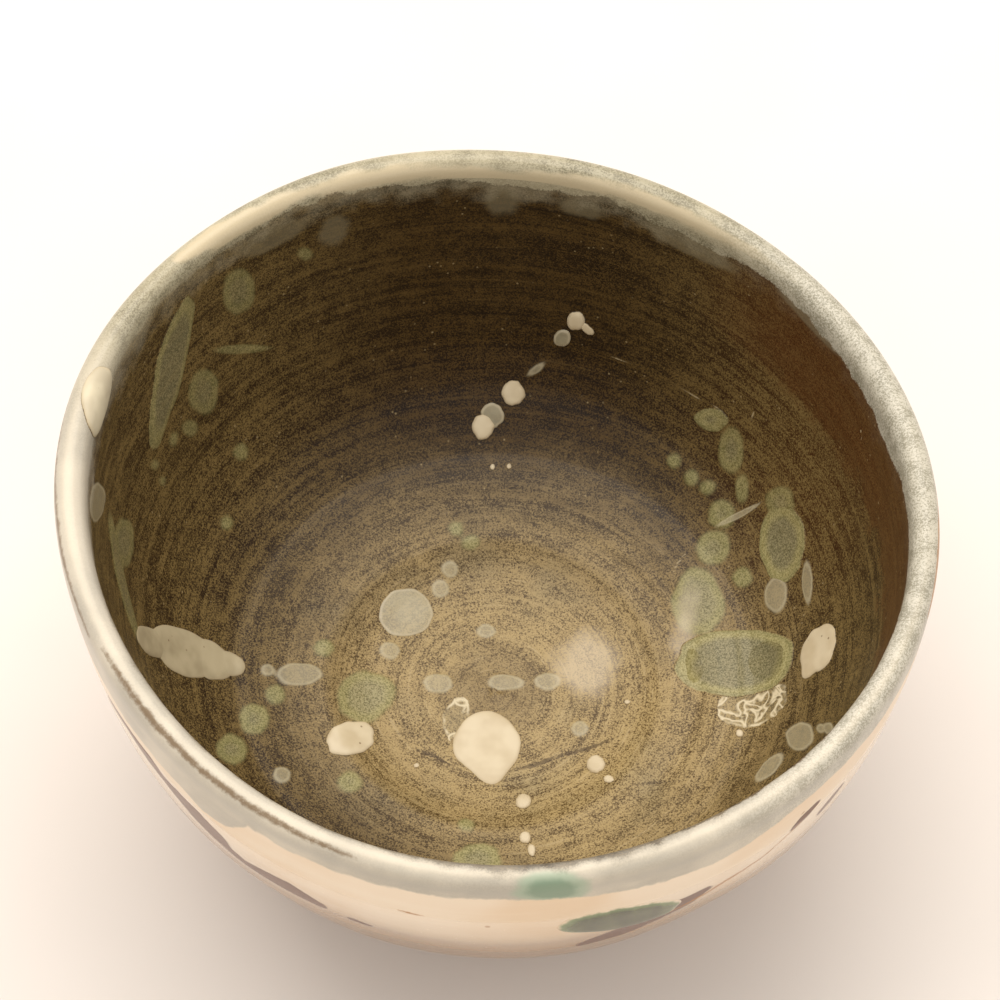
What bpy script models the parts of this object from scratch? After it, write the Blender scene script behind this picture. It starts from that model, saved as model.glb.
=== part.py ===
"""Matcha bowl: a thrown clay body, its foot ring, three glaze coats and the thick drops run onto them.

Lengths at the top are millimetres. Bearings are degrees seen from above, anticlockwise from +X.
The bowl stands on z = 0 with its axis on the origin.
"""
import math

import bpy

MM = 0.001
SIDES = 48

# The bowl's glazed surface, from just above the foot, up the outside, over the lip and down to the floor.
OUTSIDE = [(28.6, 9.2), (33.6, 11.0), (40.0, 14.6), (46.0, 19.4), (50.1, 25.2), (53.6, 32.6),
           (57.0, 41.0), (59.3, 50.0), (60.4, 58.0), (60.8, 63.0)]
LIP = [(60.9, 66.2), (60.75, 67.6), (60.4, 68.45), (59.7, 69.0), (58.7, 69.15), (57.8, 68.85),
       (57.1, 68.0), (56.75, 66.6)]
INSIDE = [(56.6, 64.0), (56.1, 57.0), (54.9, 49.0), (53.1, 41.0), (50.3, 33.5), (46.3, 27.2),
          (41.7, 22.6), (38.5, 20.5), (31.6, 18.2), (24.8, 16.7), (21.8, 15.3), (17.5, 14.2),
          (9.0, 13.3), (0.0, 13.1)]
SURFACE = OUTSIDE + LIP + INSIDE

# The clay's underside, from the centre of the recess out to the bottom of the wall.
UNDERSIDE = [(0.0, 5.8), (14.0, 5.6), (20.6, 5.7), (21.9, 6.5), (22.1, 8.6), (28.0, 8.6)]

# The foot ring: turned with a small bevel on both bottom edges and a taper outside.
FOOT_RING = [(23.4, 0.0), (26.0, 0.0), (26.6, 0.6), (27.4, 4.2), (28.0, 8.3), (22.5, 8.3), (22.6, 4.0), (22.9, 0.5)]

COAT = 0.6
GAP = 0.3
RIM_HEIGHT = 69.0
WALL_FOOT = 10.0

# Where each coat starts and stops, measured along the surface from just above the foot.
OUTER_COAT = (5.0, 61.0)
LIP_COAT = (61.3, 78.2)
INNER_COAT_START = 78.5

# Unevenness of a hand-thrown rim: one side lower, a slow wave, a gentler three-part wave, and an oval.
RIM_TILT = 2.5
RIM_WAVE = 1.07
RIM_WAVE_TURNED = 0.93
RIM_BEND = 0.42
RIM_BEND_TURNED = 0.58
OVAL = 0.005
OVAL_TURNED = 0.007

# Drops on the inside: bearing, distance up from the floor's centre, half length, half width,
# turn of the long side away from straight up the wall, height.
INSIDE_DROPS = {
    "white_drop_floor": (265.0, 9.2, 5.6, 5.2, 0.0, 0.9),
    "white_drop_near_well": (207.5, 24.0, 4.0, 2.8, 14.0, 0.8),
    "white_drop_left_run": (184.0, 48.3, 11.4, 3.6, 9.0, 0.8),
    "white_drop_right": (0.0, 52.2, 3.8, 4.3, -10.0, 0.8),
    "grey_drop_floor": (138.5, 18.6, 4.2, 3.9, 0.0, 0.6),
    "green_splash_right": (4.0, 37.3, 9.9, 5.7, -14.0, 0.6),
    "green_splash_left": (150.5, 78.2, 11.2, 3.8, -38.0, 0.7),
    "green_splash_far": (24.0, 51.2, 5.6, 4.5, 55.0, 0.6),
    "green_splash_back": (50.5, 56.6, 2.8, 2.4, 0.0, 0.6),
}

# Drops on the outside: bearing, distance down from the crest of the lip, then as above.
OUTSIDE_DROPS = {
    "green_splash_front": (287.5, 17.5, 3.4, 8.2, -14.0, 0.7),
}

COLOURS = {
    "clay_body": (0.32, 0.20, 0.13),
    "foot_ring": (0.34, 0.21, 0.14),
    "inside_glaze": (0.12, 0.09, 0.06),
    "lip_glaze": (0.55, 0.55, 0.52),
    "outside_glaze": (0.78, 0.66, 0.52),
    "white": (0.85, 0.82, 0.74),
    "grey": (0.45, 0.44, 0.40),
    "green": (0.05, 0.16, 0.11),
}


def clear_scene():
    for thing in list(bpy.data.objects):
        bpy.data.objects.remove(thing, do_unlink=True)


def give_material(thing, colour, roughness):
    material = bpy.data.materials.new(thing.name)
    material.use_nodes = True
    shader = material.node_tree.nodes["Principled BSDF"]
    shader.inputs["Base Color"].default_value = (*colour, 1.0)
    shader.inputs["Roughness"].default_value = roughness
    thing.data.materials.append(material)


def arc_lengths(line):
    total = [0.0]
    for (r0, z0), (r1, z1) in zip(line, line[1:]):
        total.append(total[-1] + math.hypot(r1 - r0, z1 - z0))
    return total


def point_at(line, distance):
    lengths = arc_lengths(line)
    distance = min(max(distance, 0.0), lengths[-1])
    for i in range(len(line) - 1):
        if distance <= lengths[i + 1]:
            share = (distance - lengths[i]) / (lengths[i + 1] - lengths[i])
            r = line[i][0] + share * (line[i + 1][0] - line[i][0])
            z = line[i][1] + share * (line[i + 1][1] - line[i][1])
            return r, z
    return line[-1]


def stretch_of(line, start, stop):
    """The part of a line between two distances along it."""
    lengths = arc_lengths(line)
    inner = [p for p, s in zip(line, lengths) if start + 0.3 < s < stop - 0.3]
    return [point_at(line, start)] + inner + [point_at(line, stop)]


def sunk(line, depth):
    """A line moved into the clay, square to itself. The clay is on the right of the way the line runs."""
    moved = []
    for i, (r, z) in enumerate(line):
        r0, z0 = line[max(i - 1, 0)]
        r1, z1 = line[min(i + 1, len(line) - 1)]
        along_r, along_z = r1 - r0, z1 - z0
        size = math.hypot(along_r, along_z)
        moved.append((r - depth * along_z / size, z + depth * along_r / size))
    return moved


def uneven(r, z, bearing):
    """Move a true circle's point onto the hand-thrown shape."""
    share = min(max((z - WALL_FOOT) / (RIM_HEIGHT - WALL_FOOT), 0.0), 1.05)
    lift = (-RIM_TILT * math.cos(bearing)
            + RIM_WAVE * math.cos(2 * bearing) - RIM_WAVE_TURNED * math.sin(2 * bearing)
            - RIM_BEND * math.cos(3 * bearing) - RIM_BEND_TURNED * math.sin(3 * bearing))
    low = min(max((z - WALL_FOOT) / 30.0, 0.0), 1.0)
    oval = OVAL * math.cos(2 * bearing) - OVAL_TURNED * math.sin(2 * bearing)
    r = r * (1 + low * oval)
    z = z + lift * share
    return r * math.cos(bearing), r * math.sin(bearing), z


def add_body(name, points, faces, colour, roughness):
    mesh = bpy.data.meshes.new(name)
    mesh.from_pydata([(x * MM, y * MM, z * MM) for x, y, z in points], [], faces)
    mesh.validate()
    mesh.polygons.foreach_set("use_smooth", [True] * len(mesh.polygons))
    mesh.update()
    thing = bpy.data.objects.new(name, mesh)
    bpy.context.scene.collection.objects.link(thing)
    give_material(thing, colour, roughness)
    return thing


def turn(name, loop, colour, roughness, closed):
    """Spin a line round the axis. A closed loop makes a ring, an open line ends on the axis at both ends."""
    points, rings = [], []
    for r, z in loop:
        if r < 1e-6:
            rings.append([len(points)])
            points.append((0.0, 0.0, z))
            continue
        rings.append(list(range(len(points), len(points) + SIDES)))
        for k in range(SIDES):
            points.append(uneven(r, z, 2 * math.pi * k / SIDES))
    faces = []
    pairs = list(zip(rings, rings[1:]))
    if closed:
        pairs.append((rings[-1], rings[0]))
    for low, high in pairs:
        for k in range(SIDES):
            n = (k + 1) % SIDES
            if len(low) == 1:
                faces.append((low[0], high[n], high[k]))
            elif len(high) == 1:
                faces.append((low[k], low[n], high[0]))
            else:
                faces.append((low[k], low[n], high[n], high[k]))
    return add_body(name, points, faces, colour, roughness)


def coat(name, start, stop, colour, to_axis=False):
    """A glaze coat: the surface line, and the same line one coat deeper, joined into a closed shell."""
    face = stretch_of(SURFACE, start, stop)
    back = sunk(face, COAT)
    if to_axis:
        back[-1] = (0.0, face[-1][1] - COAT)
    if to_axis:
        return turn_shell(name, face, back, colour)
    return turn(name, face + back[::-1], colour, 0.25, True)


def turn_shell(name, face, back, colour):
    """A bowl-shaped coat: down the face to the axis, then back out underneath, closed at its upper edge."""
    points, faces = [], []

    def ring(r, z):
        start = len(points)
        if r < 1e-6:
            points.append((0.0, 0.0, z))
            return [start]
        for k in range(SIDES):
            points.append(uneven(r, z, 2 * math.pi * k / SIDES))
        return list(range(start, start + SIDES))

    top = [ring(r, z) for r, z in face]
    under = [ring(r, z) for r, z in back]
    for rows, flip in ((top, False), (under, True)):
        for low, high in zip(rows, rows[1:]):
            for k in range(SIDES):
                n = (k + 1) % SIDES
                quad = (low[k], low[n], high[0]) if len(high) == 1 else (low[k], low[n], high[n], high[k])
                faces.append(quad[::-1] if flip else quad)
    for k in range(SIDES):
        n = (k + 1) % SIDES
        faces.append((top[0][n], top[0][k], under[0][k], under[0][n]))
    return add_body(name, points, faces, colour, 0.2)


def chord(bearing):
    """How far inside the true circle a flat side of the turned body lies at this bearing."""
    step = 2 * math.pi / SIDES
    off = bearing % step - step / 2
    return math.cos(step / 2) / math.cos(off)


def drop(name, line, side, spec, colour):
    """A flattened drop of glaze that follows the surface it ran onto."""
    bearing, distance, half_length, half_width, tilt, height = spec
    bearing, tilt = math.radians(bearing), math.radians(tilt)
    spokes, steps = 16, (0.45, 0.8, 1.0)

    def place(u, v, lift):
        along = u * math.cos(tilt) - v * math.sin(tilt)
        around = u * math.sin(tilt) + v * math.cos(tilt)
        far = distance + along
        reach = math.hypot(far, around) if side > 0 else far
        r, z = point_at(line, reach)
        angle = math.atan2(around, far) * reach / max(r, 0.5) if side > 0 else around / r
        r0, z0 = point_at(line, reach - 0.8)
        r1, z1 = point_at(line, reach + 0.8)
        size = math.hypot(r1 - r0, z1 - z0)
        out_r, out_z = -(z1 - z0) / size, (r1 - r0) / size
        here = bearing + angle
        share = chord(here)
        return uneven((r * share + out_r * lift), z + out_z * lift, here)

    points = [place(0, 0, GAP + 0.05 + height), place(0, 0, GAP + 0.05)]
    top, under = [], []
    for step in steps:
        for rows, lift in ((top, height * (1 - step ** 2.5) ** 0.5 if step < 1 else 0.12), (under, 0.0)):
            row = []
            for k in range(spokes):
                a = 2 * math.pi * k / spokes
                row.append(len(points))
                points.append(place(half_length * step * math.cos(a), half_width * step * math.sin(a),
                                    GAP + 0.05 + lift))
            rows.append(row)
    faces = []
    for k in range(spokes):
        n = (k + 1) % spokes
        faces.append((0, top[0][k], top[0][n]))
        faces.append((1, under[0][n], under[0][k]))
        for a, b in zip(top, top[1:]):
            faces.append((a[k], b[k], b[n], a[n]))
        for a, b in zip(under, under[1:]):
            faces.append((a[n], b[n], b[k], a[k]))
        faces.append((top[-1][k], under[-1][k], under[-1][n], top[-1][n]))
    return add_body(name, points, faces, colour, 0.15)


def shade(name):
    for word in ("white", "grey", "green"):
        if name.startswith(word):
            return COLOURS[word]
    return COLOURS[name]


def build():
    clear_scene()
    clay_line = sunk(SURFACE, COAT + GAP)
    clay_line[-1] = (0.0, SURFACE[-1][1] - COAT - GAP)
    turn("clay_body", UNDERSIDE + clay_line, COLOURS["clay_body"], 0.8, False)
    turn("foot_ring", FOOT_RING, COLOURS["foot_ring"], 0.8, True)
    coat("outside_glaze", *OUTER_COAT, COLOURS["outside_glaze"])
    coat("lip_glaze", *LIP_COAT, COLOURS["lip_glaze"])
    coat("inside_glaze", INNER_COAT_START, arc_lengths(SURFACE)[-1], COLOURS["inside_glaze"], True)
    crest = len(OUTSIDE) + 4
    inside_line = SURFACE[crest:][::-1]
    outside_line = SURFACE[:crest + 1][::-1]
    for name, spec in INSIDE_DROPS.items():
        drop(name, inside_line, 1, spec, shade(name))
    for name, spec in OUTSIDE_DROPS.items():
        drop(name, outside_line, -1, spec, shade(name))


build()
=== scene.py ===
# %% [markdown]
# # A matcha bowl, glaze by glaze
# The clay of this bowl was thrown on a wheel, trimmed, given a foot, and glazed in several layers.
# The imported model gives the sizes. Here every layer is built again finely enough to look at closely.

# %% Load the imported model
import math

import bpy
import numpy as np
from mathutils import Matrix, Vector


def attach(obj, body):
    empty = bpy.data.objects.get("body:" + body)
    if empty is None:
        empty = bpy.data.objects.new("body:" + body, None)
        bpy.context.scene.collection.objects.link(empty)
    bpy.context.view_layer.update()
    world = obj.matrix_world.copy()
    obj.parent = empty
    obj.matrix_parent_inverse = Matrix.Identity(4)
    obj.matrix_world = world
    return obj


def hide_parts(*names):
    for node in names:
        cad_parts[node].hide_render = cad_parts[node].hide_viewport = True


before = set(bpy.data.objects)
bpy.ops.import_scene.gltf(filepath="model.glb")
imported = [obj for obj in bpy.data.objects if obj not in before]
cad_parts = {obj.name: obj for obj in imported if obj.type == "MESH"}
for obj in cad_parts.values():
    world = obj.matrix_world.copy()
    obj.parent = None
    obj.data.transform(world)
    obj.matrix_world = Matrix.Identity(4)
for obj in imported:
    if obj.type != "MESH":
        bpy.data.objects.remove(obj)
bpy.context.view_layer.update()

MM = 0.001

# %% [markdown]
# ## The bowl's surface as one line
# A wheel-thrown bowl is a line spun round an axis. The line starts at the centre of the floor, climbs the
# wall inside, rolls over the lip and runs down the outside to the foot. Its length is called the way, in
# millimetres, and a bearing in degrees says where round the bowl a point lies. Those two numbers place
# every groove, drop and streak below. A smooth curve through a few given points keeps the line fair.

# %% The profile line
INSIDE = [(0.0, 13.1), (9.0, 13.3), (17.5, 14.2), (21.8, 15.3), (24.8, 16.7), (31.6, 18.2), (38.5, 20.5),
          (41.7, 22.6), (46.3, 27.2), (50.3, 33.5), (53.1, 41.0), (54.9, 49.0), (56.1, 57.0), (56.6, 64.0)]
LIP = [(56.75, 66.6), (57.1, 68.0), (57.8, 68.85), (58.7, 69.15), (59.7, 69.0), (60.4, 68.45), (60.75, 67.6),
       (60.9, 66.2)]
OUTSIDE = [(60.8, 63.0), (60.4, 58.0), (59.3, 50.0), (57.0, 41.0), (53.6, 32.6), (50.1, 25.2),
           (46.0, 19.4), (40.0, 14.6), (33.6, 11.0), (28.6, 9.2)]


def smooth_line(points, steps=12):
    """A smooth curve through the points, by the Catmull-Rom rule."""
    p = np.array(points, float)
    p = np.vstack([2 * p[0] - p[1], p, 2 * p[-1] - p[-2]])
    u = np.linspace(0, 1, steps, endpoint=False)[:, None]
    spans = []
    for a, b, c, d in zip(p, p[1:], p[2:], p[3:]):
        spans.append(0.5 * (2 * b + (c - a) * u + (2 * a - 5 * b + 4 * c - d) * u ** 2
                            + (3 * b - a - 3 * c + d) * u ** 3))
    return np.vstack(spans + [p[-2:-1]])


LINE = smooth_line(INSIDE + LIP + OUTSIDE)
WAY = np.concatenate([[0], np.cumsum(np.hypot(*np.diff(LINE, axis=0).T))])
CREST = WAY[np.argmax(LINE[:, 1])]
END = WAY[-1]
FLOOR_HEIGHT = INSIDE[0][1]
print("way to the crest of the lip:", round(CREST, 1), "mm, to the foot:", round(END, 1), "mm")

# %% [markdown]
# ## The hand in the shape
# No thrown bowl is a true circle. This one is a little oval, its rim rises and falls in a slow wave, and
# one side stands a few millimetres higher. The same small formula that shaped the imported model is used
# again, so that the fine layers lie exactly where the solid ones do.

# %% Put a point on the uneven bowl
RIM_HEIGHT, WALL_FOOT = 69.0, 10.0
RIM_TILT, RIM_WAVE, RIM_WAVE_TURNED, RIM_BEND, RIM_BEND_TURNED = 2.5, 1.07, 0.93, 0.42, 0.58
OVAL, OVAL_TURNED, OVAL_FROM = 0.005, 0.007, 30.0


def uneven(r, z, bearing):
    """Turn radius, height and bearing (radians) into x, y, z on the hand-thrown shape, in millimetres."""
    share = np.clip((z - WALL_FOOT) / (RIM_HEIGHT - WALL_FOOT), 0, 1.05)
    lift = (-RIM_TILT * np.cos(bearing)
            + RIM_WAVE * np.cos(2 * bearing) - RIM_WAVE_TURNED * np.sin(2 * bearing)
            - RIM_BEND * np.cos(3 * bearing) - RIM_BEND_TURNED * np.sin(3 * bearing))
    low = np.clip((z - WALL_FOOT) / OVAL_FROM, 0, 1)
    r = r * (1 + low * (OVAL * np.cos(2 * bearing) - OVAL_TURNED * np.sin(2 * bearing)))
    return np.stack([r * np.cos(bearing), r * np.sin(bearing), z + lift * share], -1)


def line_at(way):
    """Radius, height and the outward direction of the profile line at a way along it."""
    way = np.clip(way, 0, END)
    r, z = np.interp(way, WAY, LINE[:, 0]), np.interp(way, WAY, LINE[:, 1])
    a, b = np.clip(way - 0.4, 0, END), np.clip(way + 0.4, 0, END)
    dr = np.interp(b, WAY, LINE[:, 0]) - np.interp(a, WAY, LINE[:, 0])
    dz = np.interp(b, WAY, LINE[:, 1]) - np.interp(a, WAY, LINE[:, 1])
    size = np.hypot(dr, dz)
    return r, z, -dz / size, dr / size


# %% [markdown]
# ## Marks of the wheel
# Fingers leave a spiral of soft ridges as they travel up the wall, and in the middle of the floor the last
# turn of the hand makes a small curl. A groove runs round the edge of the floor, and on the right the
# clay was pressed into low steps. Real ridges catch the light from every side, so they are moved points
# here and not only a bump in the material.

# %% Throwing rings, the curl on the floor and soft lumps
chance = np.random.default_rng(7)
LUMPS = [(chance.normal(size=3) * 0.09, chance.uniform(0, 6.28)) for _ in range(8)]
LUMP_HEIGHT = 0.16
# Each ridge or groove: height, way and half width, in millimetres.
FLOOR_GROOVES = [(-0.14, 39.6, 0.9), (-0.10, 24.0, 0.8), (0.08, 26.0, 1.0)]
RIGHT_STEPS = [(0.24, 28, 1.2), (-0.22, 31, 1.0), (0.18, 34.5, 1.3), (-0.16, 37, 0.9)]
CURL_HEIGHT, FINE_HEIGHT, WIDE_HEIGHT, OUTER_HEIGHT = 0.045, 0.012, 0.035, 0.08


def bell(x, centre, width):
    """1 at the centre and falling off softly on both sides."""
    return np.exp(-((x - centre) / width) ** 2)


def rises(way, bands):
    """The height of a set of ridges and grooves that run round the bowl."""
    return sum(height * bell(way, centre, width) for height, centre, width in bands)


def lumps(points):
    """A soft unevenness between about -1 and 1, the same wherever it is asked for."""
    return sum(np.sin(points @ wave + turn) for wave, turn in LUMPS) / 3


def wheel_marks(way, bearing):
    """How far the thrown surface stands out of the true line, in millimetres."""
    turn = bearing / (2 * math.pi)
    inside = np.clip((CREST - 5 - way) / 10, 0, 1)
    patchy = 0.5 + 0.5 * np.sin(2 * bearing + way / 4) * np.sin(bearing - way / 7)
    curl = np.sin(2 * math.pi * (way / 4.6 - turn)) * bell(way, 0, 11) * np.clip(way / 4, 0, 1) * CURL_HEIGHT
    fine = np.sin(2 * math.pi * (way / 1.9 + turn)) * patchy * FINE_HEIGHT
    wide = np.sin(2 * math.pi * (way / 6.3 - turn)) * patchy * WIDE_HEIGHT
    right = np.clip(np.cos(bearing - 0.35), 0, 1) ** 2
    outside = np.clip((way - CREST - 12) / 15, 0, 1)
    ridges = np.sin(2 * math.pi * (way / 7.5 + turn)) * OUTER_HEIGHT * outside
    floor = rises(way, FLOOR_GROOVES) + rises(way, RIGHT_STEPS) * right
    return inside * (curl + fine + wide + floor) + ridges


def place(way, bearing, lift=0.0, marks=True):
    """A point on the bowl: its way, its bearing in radians, and how far it stands off the surface."""
    r, z, out_r, out_z = line_at(way)
    off = lift + (wheel_marks(way, bearing) if marks else 0)
    spot = uneven(r + out_r * off, z + out_z * off, bearing)
    if marks:
        soft = LUMP_HEIGHT * lumps(spot) * np.clip(r / 20, 0, 1) * np.clip((END - way) / 20, 0, 1)
        spot = uneven(r + out_r * (off + soft), z + out_z * (off + soft), bearing)
    return spot


print("marks at the floor's edge:", np.round(wheel_marks(np.arange(20, 28, 2.0), 0.0), 2))

# %% [markdown]
# ## Shader maths as plain sums
# A material in Blender is a net of nodes. Written out node by node it is hard to read, so one small class
# wraps a socket and lets it be added, multiplied and compared like a number. Each sign adds a Math node.
# Colours go through Mix nodes, because a Math node would turn them grey.

# %% A socket that can be used in sums
class Wire:
    """One output of a node in a finish."""

    def __init__(self, finish, socket):
        self.finish, self.socket = finish, socket

    def maths(self, operation, *values):
        return self.finish.node("ShaderNodeMath", {"operation": operation}, dict(enumerate(values)))

    def __add__(self, other):
        return self.maths("ADD", self, other)

    def __sub__(self, other):
        return self.maths("SUBTRACT", self, other)

    def __rsub__(self, other):
        return self.maths("SUBTRACT", other, self)

    def __mul__(self, other):
        return self.maths("MULTIPLY", self, other)

    __radd__, __rmul__ = __add__, __mul__

    def most(self, other):
        return self.maths("MAXIMUM", self, other)

    def rise(self, low, high):
        """0 below low, 1 above high, and a soft step between. It falls if low is above high."""
        ends = {"From Min": min(low, high), "From Max": max(low, high)}
        ends.update({"To Min": float(low > high), "To Max": float(low < high)})
        settings = {"interpolation_type": "SMOOTHSTEP"}
        return self.finish.node("ShaderNodeMapRange", settings, {"Value": self, **ends})

    def hump(self, centre, width):
        """1 at the centre, falling softly to 0 a width away on both sides."""
        return self.maths("ABSOLUTE", self - centre).rise(width, 0)


# %% A finish: one material and the ways to add nodes to it
class Finish:
    """A material whose nodes are made by one method."""

    def __init__(self, name):
        self.material = bpy.data.materials.new(name)
        self.material.use_nodes = True
        self.tree = self.material.node_tree
        self.shader = self.tree.nodes["Principled BSDF"]
        spot = self.node("ShaderNodeTexCoord", out="Object")
        self.spot = self.node("ShaderNodeVectorMath", {"operation": "SCALE"}, {0: spot, "Scale": 1 / MM})

    def feed(self, socket, value):
        if isinstance(value, Wire):
            self.tree.links.new(value.socket, socket)
        elif socket.type == "RGBA":
            socket.default_value = (*value, 1.0)
        else:
            socket.default_value = value

    def node(self, kind, settings=None, inputs=None, out=0):
        made = self.tree.nodes.new(kind)
        for key, value in (settings or {}).items():
            setattr(made, key, value)
        for key, value in (inputs or {}).items():
            self.feed(made.inputs[key], value)
        return Wire(self, made.outputs[out])

    def right_and_back(self):
        """How far right and how far back a point lies, in millimetres."""
        return [self.node("ShaderNodeSeparateXYZ", None, {0: self.spot}, out=i) for i in (0, 1)]

    def reading(self, name):
        """A number stored on the mesh's points."""
        return self.node("ShaderNodeAttribute", {"attribute_name": name}, out="Fac")

    def stretched(self, x, y, z):
        """The place in millimetres, squeezed or stretched along each axis."""
        return self.node("ShaderNodeVectorMath", {"operation": "MULTIPLY"}, {0: self.spot, 1: (x, y, z)})

    def noise(self, scale, detail=2.0, roughness=0.5, spot=None, warp=0.0):
        numbers = {"Vector": spot or self.spot, "Scale": scale, "Detail": detail,
                   "Roughness": roughness, "Distortion": warp}
        return self.node("ShaderNodeTexNoise", None, numbers)

    def grains(self, scale, spot=None):
        """Distance from the middle of scattered grains."""
        return self.node("ShaderNodeTexVoronoi", None, {"Vector": spot or self.spot, "Scale": scale})

    def mix(self, mask, first, second):
        """The first colour where the mask is 0, the second where it is 1."""
        return self.node("ShaderNodeMix", {"data_type": "RGBA"}, {0: mask, 6: first, 7: second}, out=2)

    def surface(self, colour, roughness, height, depth, coat=0.0, coat_roughness=0.1, shine=0.5):
        """Feed the shader. Depth is the bump's full height in millimetres."""
        self.feed(self.shader.inputs["Specular IOR Level"], shine)
        self.feed(self.shader.inputs["Base Color"], colour)
        self.feed(self.shader.inputs["Roughness"], roughness)
        bump = self.node("ShaderNodeBump", None, {"Strength": 1.0, "Distance": depth * MM, "Height": height})
        self.feed(self.shader.inputs["Normal"], bump)
        self.feed(self.shader.inputs["Coat Weight"], coat)
        self.feed(self.shader.inputs["Coat Roughness"], coat_roughness)
        return self.material


def tone(red, green, blue):
    """A screen colour from 0 to 255 as the linear numbers a shader wants."""
    return tuple(c / 12.92 if c <= 0.04045 else ((c + 0.055) / 1.055) ** 2.4
                 for c in (red / 255, green / 255, blue / 255))


print("a warm white in linear numbers:", [round(c, 2) for c in tone(232, 222, 200)])

# %% [markdown]
# ## Where glaze fell
# Whoever glazed this bowl flicked and dripped three glazes over a dark one: an opaque white, a thin grey
# and a copper green. Each mark is a small oval on the unrolled surface: its bearing and way, half its
# length up the wall, half its width round the bowl, and how far it is turned. The thin ones are films
# that only stain the dark coat, so they are held as distances on its points: below zero inside a mark.

# %% Ovals on the unrolled surface
def unrolled(way, bearing, centre_way, centre_bearing):
    """Steps up the wall and round the bowl, in millimetres, from a mark's centre."""
    r = line_at(centre_way)[0]
    scale = max(r, 1.0) / max(centre_way, 1.0)
    turn = (bearing - math.radians(centre_bearing) + math.pi) % (2 * math.pi) - math.pi
    turn = np.clip(turn * scale, -math.pi, math.pi)
    return way * np.cos(turn) - centre_way, way * np.sin(turn)


def rolled(up, round_, centre_way, centre_bearing):
    """The way and the bearing of a point that lies so many steps from a mark's centre."""
    r = line_at(centre_way)[0]
    scale = max(r, 1.0) / max(centre_way, 1.0)
    far = centre_way + up
    return np.hypot(far, round_), math.radians(centre_bearing) + np.arctan2(round_, far) / scale


def wobble(angle, seed, amount):
    """The uneven edge of a drop, as a share of its radius."""
    dice = np.random.default_rng(seed)
    return 1 + amount * sum(np.sin(n * angle + dice.uniform(0, 6.28)) * dice.uniform(0.3, 1) / n ** 0.5
                            for n in (2, 3, 4, 6, 9)) / 2


def spread(way, bearing, mark, seed, amount=0.12):
    """How far out from a mark's middle a point is: 0 in the middle, 1 on its edge."""
    centre_bearing, centre_way, length, width, turn = mark
    up, side = unrolled(way, bearing, centre_way, centre_bearing)
    a = math.radians(turn)
    along, across = up * math.cos(a) + side * math.sin(a), side * math.cos(a) - up * math.sin(a)
    angle = np.arctan2(across / width, along / length)
    return np.hypot(along / length, across / width) / wobble(angle, seed, amount)


FAR_AWAY = 9.0


def distance_to(way, bearing, marks, first_seed):
    """Millimetres to the nearest edge of a set of marks, below zero inside one."""
    nearest = np.full(np.shape(way), FAR_AWAY)
    for i, mark in enumerate(marks):
        out = (spread(way, bearing, mark, first_seed + i) - 1) * math.sqrt(mark[2] * mark[3])
        nearest = np.minimum(nearest, out)
    return nearest


# %% Films: bearing, way, half length, half width, turn
GREEN_FILMS = [
    (134, 81, 5, 2.8, 6), (145, 68.4, 4.4, 3.0, 3), (122, 81.5, 1.7, 1.1, 28), (150, 65, 2.1, 1.3, 34),
    (154, 66.4, 1.4, 1.1, 22), (143, 54.4, 1.6, 1.3, 42), (160, 67, 1.5, 0.8, 36),
    (160, 63.4, 1.1, 0.7, 37), (154, 48.4, 1.3, 1.1, 50), (171, 26.6, 1.7, 1.5, 60),
    (136, 70.2, 6.4, 0.8, 54), (182, 68.2, 9.7, 2.2, -39), (189, 33.6, 1.8, 1.6, 60),
    (196, 37.6, 2.9, 2.3, 53), (204, 43.4, 3.8, 2.3, 35), (222, 28.6, 2.1, 1.8, 30),
    (188, 19.6, 5.0, 4.2, 38), (104, 27.6, 1.3, 1.2, -23), (100, 25.1, 1.6, 1.2, 85),
    (262, 25.3, 1.5, 1.3, 0), (267, 31.8, 3.7, 3.2, -79), (38, 50.9, 2.4, 1.3, 38),
    (38, 45.4, 2.5, 2.3, -49), (34, 40.9, 3.0, 2.8, 0), (53, 47, 1.3, 1.2, -40), (48, 46.4, 1.4, 1.3, 20),
    (44, 46.9, 1.5, 1.2, -48), (24, 34.2, 5.8, 4.1, 69), (24, 42.1, 1.9, 1.6, -55),
    (30, 54.9, 3.1, 2.6, -29), (44, 54.6, 3.9, 2.4, 25), (176, 68.4, 4.7, 3.4, 50),
]
GREY_FILMS = [
    (174, 8.5, 2.3, 1.7, 14), (44, 2.4, 2.8, 1.4, -42), (14, 8.3, 2.1, 1.5, -14), (182, 29.8, 3.5, 2.0, 11),
    (182, 34.6, 1.2, 1.0, 60), (342, 50.9, 4.3, 2.1, -33), (342, 55.9, 2.0, 0.7, -32),
    (341, 58.4, 2.5, 0.8, -35), (336, 46.6, 2.9, 1.8, 63), (98, 10.5, 1.5, 1.2, 87),
    (16, 46.1, 2.9, 2.2, 81), (14, 52.4, 3.4, 1.2, 68), (334, 14.5, 1.4, 1.3, -47), (160, 17, 1.6, 1.5, 73),
    (117, 19.1, 1.5, 1.4, -62), (110, 21.6, 1.4, 1.3, -42), (84, 53.4, 1.8, 0.6, -45),
    (180, 83.7, 6.6, 2.6, 40), (212, 37.1, 1.6, 1.3, 29), (35, 47.5, 4.5, 0.5, -20),
]
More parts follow.
